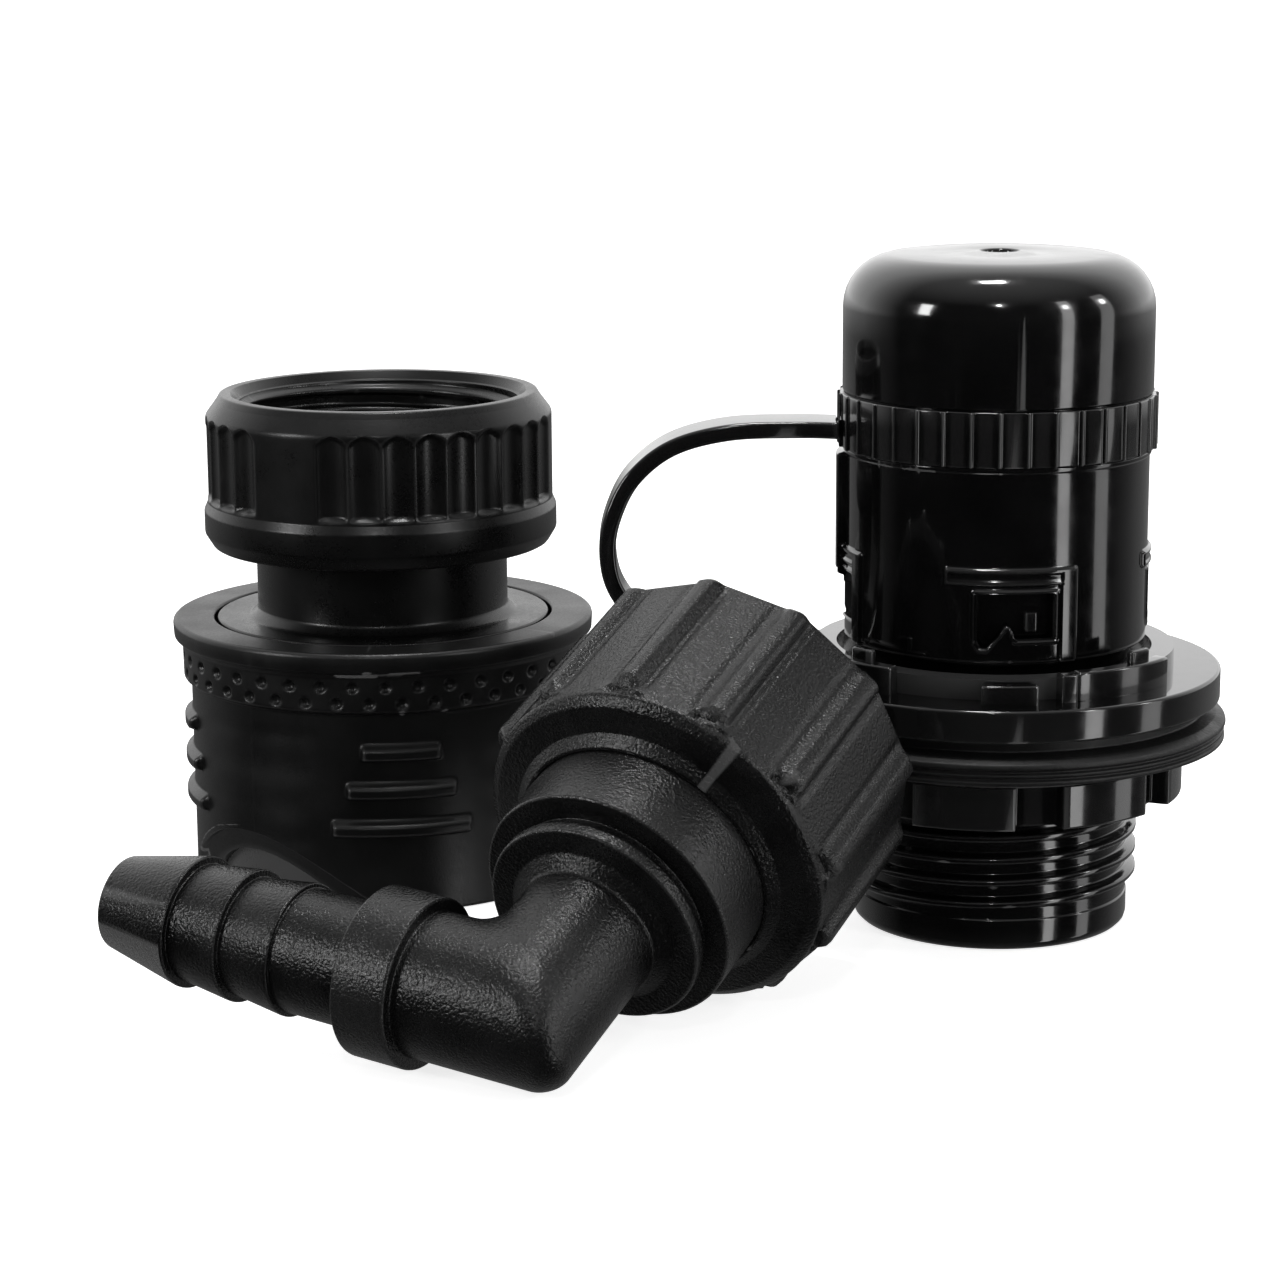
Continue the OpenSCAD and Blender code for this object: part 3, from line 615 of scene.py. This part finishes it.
def elbow_ring(kind, value, radius, around):
    """One ring of points: across the barb arm or nut arm at distance value, or a share of the bend."""
    side, out = radius * np.sin(around), radius * np.cos(around)
    if kind == "barb":
        return np.stack([side, np.full(side.shape, value), -out], 1)
    if kind == "nut":
        return np.stack([side, -out, np.full(side.shape, value)], 1)
    bend = 2.2 * radius / TUBE_R
    centre = bend - out
    a = value * math.pi / 2
    return np.stack([side, centre - bend * math.sin(a), centre - bend * math.cos(a)], 1)


def make_elbow():
    around = np.radians(np.linspace(0, 360, 96, endpoint=False))
    barb_first, pitch, barb_r, small = 20.82, 5.13, 5.55, 4.95
    tip = 38.8
    barb_line = [(tip, 3.2, 0.1), (tip, 3.95, 0.25)]
    for k in (2, 1, 0):
        z = barb_first + k * pitch
        barb_line += [(z + 0.3, barb_r, 0.12), (z, barb_r, 0.1)]
        barb_line += [(z, small if k else barb_r - 0.35, 0.1)]
    barb_line += [(13.8, barb_r - 0.35, 0.3), (13.8, 7.05, 0.25), (8.8, 7.05, 0.25), (8.8, TUBE_R, 0.2)]
    nut_line = [(10.0, TUBE_R, 0.5), (11.0, 7.3, 0.5), (11.0, 9.44, 0.3), (12.2, 9.44, 0.3), (12.5, 8.9, 0.1),
                (13.3, 8.9, 0.1), (13.3, 11.1, 0.3), (23.6, 11.1, 0.1), (23.6, 10.2, 0.1), (24.8, 10.2, 0.1),
                (24.8, 11.1, 0.1), (25.2, 11.1, 0.15), (25.2, 4.4, 0.2)]
    skin_line = outline(barb_line + [(8.5, TUBE_R, 0), (-9, TUBE_R, 0)], 0.15)
    split = [(s, r) for s, r in skin_line if s > 8.4]
    rings = [elbow_ring("barb", s, r, around) for s, r in split]
    rings += [elbow_ring("bend", t, TUBE_R, around) for t in np.linspace(0, 1, 15)]
    nut_part = outline([(5, TUBE_R, 0)] + nut_line + [(5, 4.4, 0)], 0.15)
    rings += [elbow_ring("nut", s, r, around) for s, r in nut_part if s > 8.9]
    rings += [elbow_ring("bend", t, 4.4 - 1.2 * (1 - t), around) for t in np.linspace(1, 0, 11)]
    rings += [elbow_ring("barb", s, 3.2, around) for s in (12, 30)]
    made = piece("elbow_moulding", "elbow", ["elbow_body"], [skin(rings, loop=True)], AT_ELBOW)
    weight_normals(made)


def make_elbow_nut():
    flat_r, sides, rib_turn = 15.35, 12, 26.5
    wedge = 360 / sides
    rim_z, top = 21.7, 38.3

    def shape(radius, turn, height):
        local = turn - 90
        off = (local - rib_turn + wedge / 2) % wedge - wedge / 2
        facet = flat_r / np.cos(np.radians(wedge / 2 - np.abs(off)))
        across = off * math.radians(flat_r)
        rib = np.minimum(ramp((across + 1.7) / 0.9), ramp((0.9 - across) / 0.35))
        groove = np.maximum(pad(across - 1.3, 0, 0.35, 1, 0.3), 0.6 * pad(across + 2.1, 0, 0.35, 1, 0.3))
        pocket = pad(across + 0.75, height - rim_z - 0.65, 1.05, 0.35, 0.25)
        body = ramp((height - rim_z - 0.2) / 0.4)
        start = ramp((height - rim_z - 1.1) / 0.4)
        end = ramp((top - 0.1 - height) / 0.5)
        wall = (radius > 15.0) & (height > rim_z)
        grown = (facet - flat_r) * body + (0.62 * rib - 0.22 * groove) * start * end - 0.5 * pocket
        radius = radius + np.where(wall, grown, 0)
        female = (np.abs(radius - 13.28) < 0.02) & (height > 27.5)
        crest = thread_height(height, turn, 2.0, 29.0, foot=0.6)
        ends = ramp((height - 27.6) / 0.6) * ramp((37.6 - height) / 0.6)
        return radius - np.where(female, 0.7 * crest * ends, 0), height

    line = outline([
        (11.16, 19.6, 0.15), (11.45, 19.6, 0.2), (12.3, 20.5, 0.2), (14.5, 20.9, 0.6), (15.42, 21.6, 0.6),
        (flat_r, 22.6, 0.2), (flat_r, top, 0.35), (13.6, top, 0.2), (13.28, top - 0.4, 0.05),
        (13.28, 23.6, 0.1),
        (11.16, 23.6, 0.1)])
    line = divided(line, 0.12, lambda r, z: r > 15.2 and 21.4 < z < 24)
    line = divided(line, 0.5, lambda r, z: r > 15.2 and 24 <= z)
    line = divided(line, 0.16, lambda r, z: 13.2 < r < 13.4 and z > 27)
    ribs = [rib_turn + 90 + wedge * i + side * 4.5 for i in range(sides) for side in (-1, 1)]
    made = piece("ribbed_nut", "swivel_nut", ["elbow_nut"], [lathe(line, azimuths(360, ribs, 1.0), shape)],
                 AT_ELBOW)
    weight_normals(made)


for make in (make_cap, make_tether_ring, make_strap, make_inlet, make_gasket, make_lock_ring,
             make_coupling_nut,
             make_coupling_body, make_sleeve, make_elbow, make_elbow_nut):
    make()


# ---------------------------------------------------------------- stage

def make_floor():
    mesh = bpy.data.meshes.new("floor")
    size = 12
    mesh.from_pydata([(-size, -size, 0), (size, -size, 0), (size, size, 0), (-size, size, 0)],
                     [], [(0, 1, 2, 3)])
    floor = bpy.data.objects.new("floor", mesh)
    bpy.context.scene.collection.objects.link(floor)
    material = bpy.data.materials.new("floor")
    material.use_nodes = True
    shader = material.node_tree.nodes["Principled BSDF"]
    shader.inputs["Base Color"].default_value = (0.9, 0.9, 0.9, 1)
    shader.inputs["Roughness"].default_value = 1.0
    shader.inputs["Specular IOR Level"].default_value = 0.0
    shader.inputs["Emission Color"].default_value = (1, 1, 1, 1)
    shader.inputs["Emission Strength"].default_value = 0.8
    mesh.materials.append(material)
    floor.visible_glossy = False


def aimed(made, place, target):
    made.location = place
    made.rotation_euler = (Vector(target) - Vector(place)).to_track_quat("-Z", "Y").to_euler()
    bpy.context.scene.collection.objects.link(made)
    return made


def softbox(name, place, target, width, height, power):
    light = bpy.data.lights.new(name, "AREA")
    light.shape = "RECTANGLE"
    light.size, light.size_y, light.energy = width, height, power
    return aimed(bpy.data.objects.new(name, light), place, target)


def round_about(turn, distance, height):
    a = math.radians(turn)
    return (distance * math.sin(a), -distance * math.cos(a), height)


def make_world():
    world = bpy.data.worlds.new("studio")
    bpy.context.scene.world = world
    world.use_nodes = True
    tree = world.node_tree
    where = node(tree, "ShaderNodeTexCoord")
    axes = node(tree, "ShaderNodeSeparateXYZ")
    tree.links.new(where.outputs["Generated"], axes.inputs[0])
    back = mapped(tree, axes.outputs["Y"], 0.03, 1.15, -0.1, 0.55)
    above = mapped(tree, axes.outputs["Z"], 0.0, 0.5, 0.45, 1.0)
    both = node(tree, "ShaderNodeMath", operation="MAXIMUM")
    tree.links.new(back, both.inputs[0])
    tree.links.new(above, both.inputs[1])
    upper = mapped(tree, axes.outputs["Z"], 0.15, 1.0, -0.12, 0.02)
    product = node(tree, "ShaderNodeMath", operation="MULTIPLY")
    tree.links.new(both.outputs[0], product.inputs[0])
    tree.links.new(upper, product.inputs[1])
    background = tree.nodes["Background"]
    tree.links.new(product.outputs[0], background.inputs["Strength"])
    background.inputs["Color"].default_value = (1, 1, 1, 1)


CAMERA_PLACE = (-0.03204, -0.29443, 0.08993)
CAMERA_PITCH, CAMERA_ROLL = 12.287, -0.371
CAMERA_LENS, SENSOR_WIDTH = 93.46, 36


def make_camera():
    camera = bpy.data.cameras.new("camera")
    camera.lens, camera.sensor_width = CAMERA_LENS, SENSOR_WIDTH
    camera.clip_start, camera.clip_end = 0.01, 50
    made = bpy.data.objects.new("camera", camera)
    made.matrix_world = (Matrix.Translation(CAMERA_PLACE)
                         @ Matrix.Rotation(math.radians(90 - CAMERA_PITCH), 4, "X")
                         @ Matrix.Rotation(math.radians(CAMERA_ROLL), 4, "Z"))
    bpy.context.scene.collection.objects.link(made)
    bpy.context.scene.camera = made


# Middle of the three fittings, where the lights point.
MIDDLE = (-0.03, -0.01, 0.028)
make_floor()
make_world()
softbox("overhead", (-0.03, -0.03, 0.62), MIDDLE, 0.10, 0.06, 1.1)
softbox("front", round_about(-6, 0.6, 0.42), MIDDLE, 0.03, 0.03, 0.3)
softbox("left", round_about(-62, 0.6, 0.22), MIDDLE, 0.10, 0.20, 0.9)
for name, turn, width, power in (("right", 45, 0.09, 0.8), ("far_right", 79, 0.12, 0.45)):
    softbox("strip_" + name, round_about(turn, 0.55, 0.02), round_about(turn, 0, 0.02), width, 0.8, power)
    softbox("patch_" + name, round_about(turn, 0.52, 0.27), MIDDLE, 0.04, 0.07, 0.2)
make_camera()
bpy.context.scene.view_settings.view_transform = "Standard"
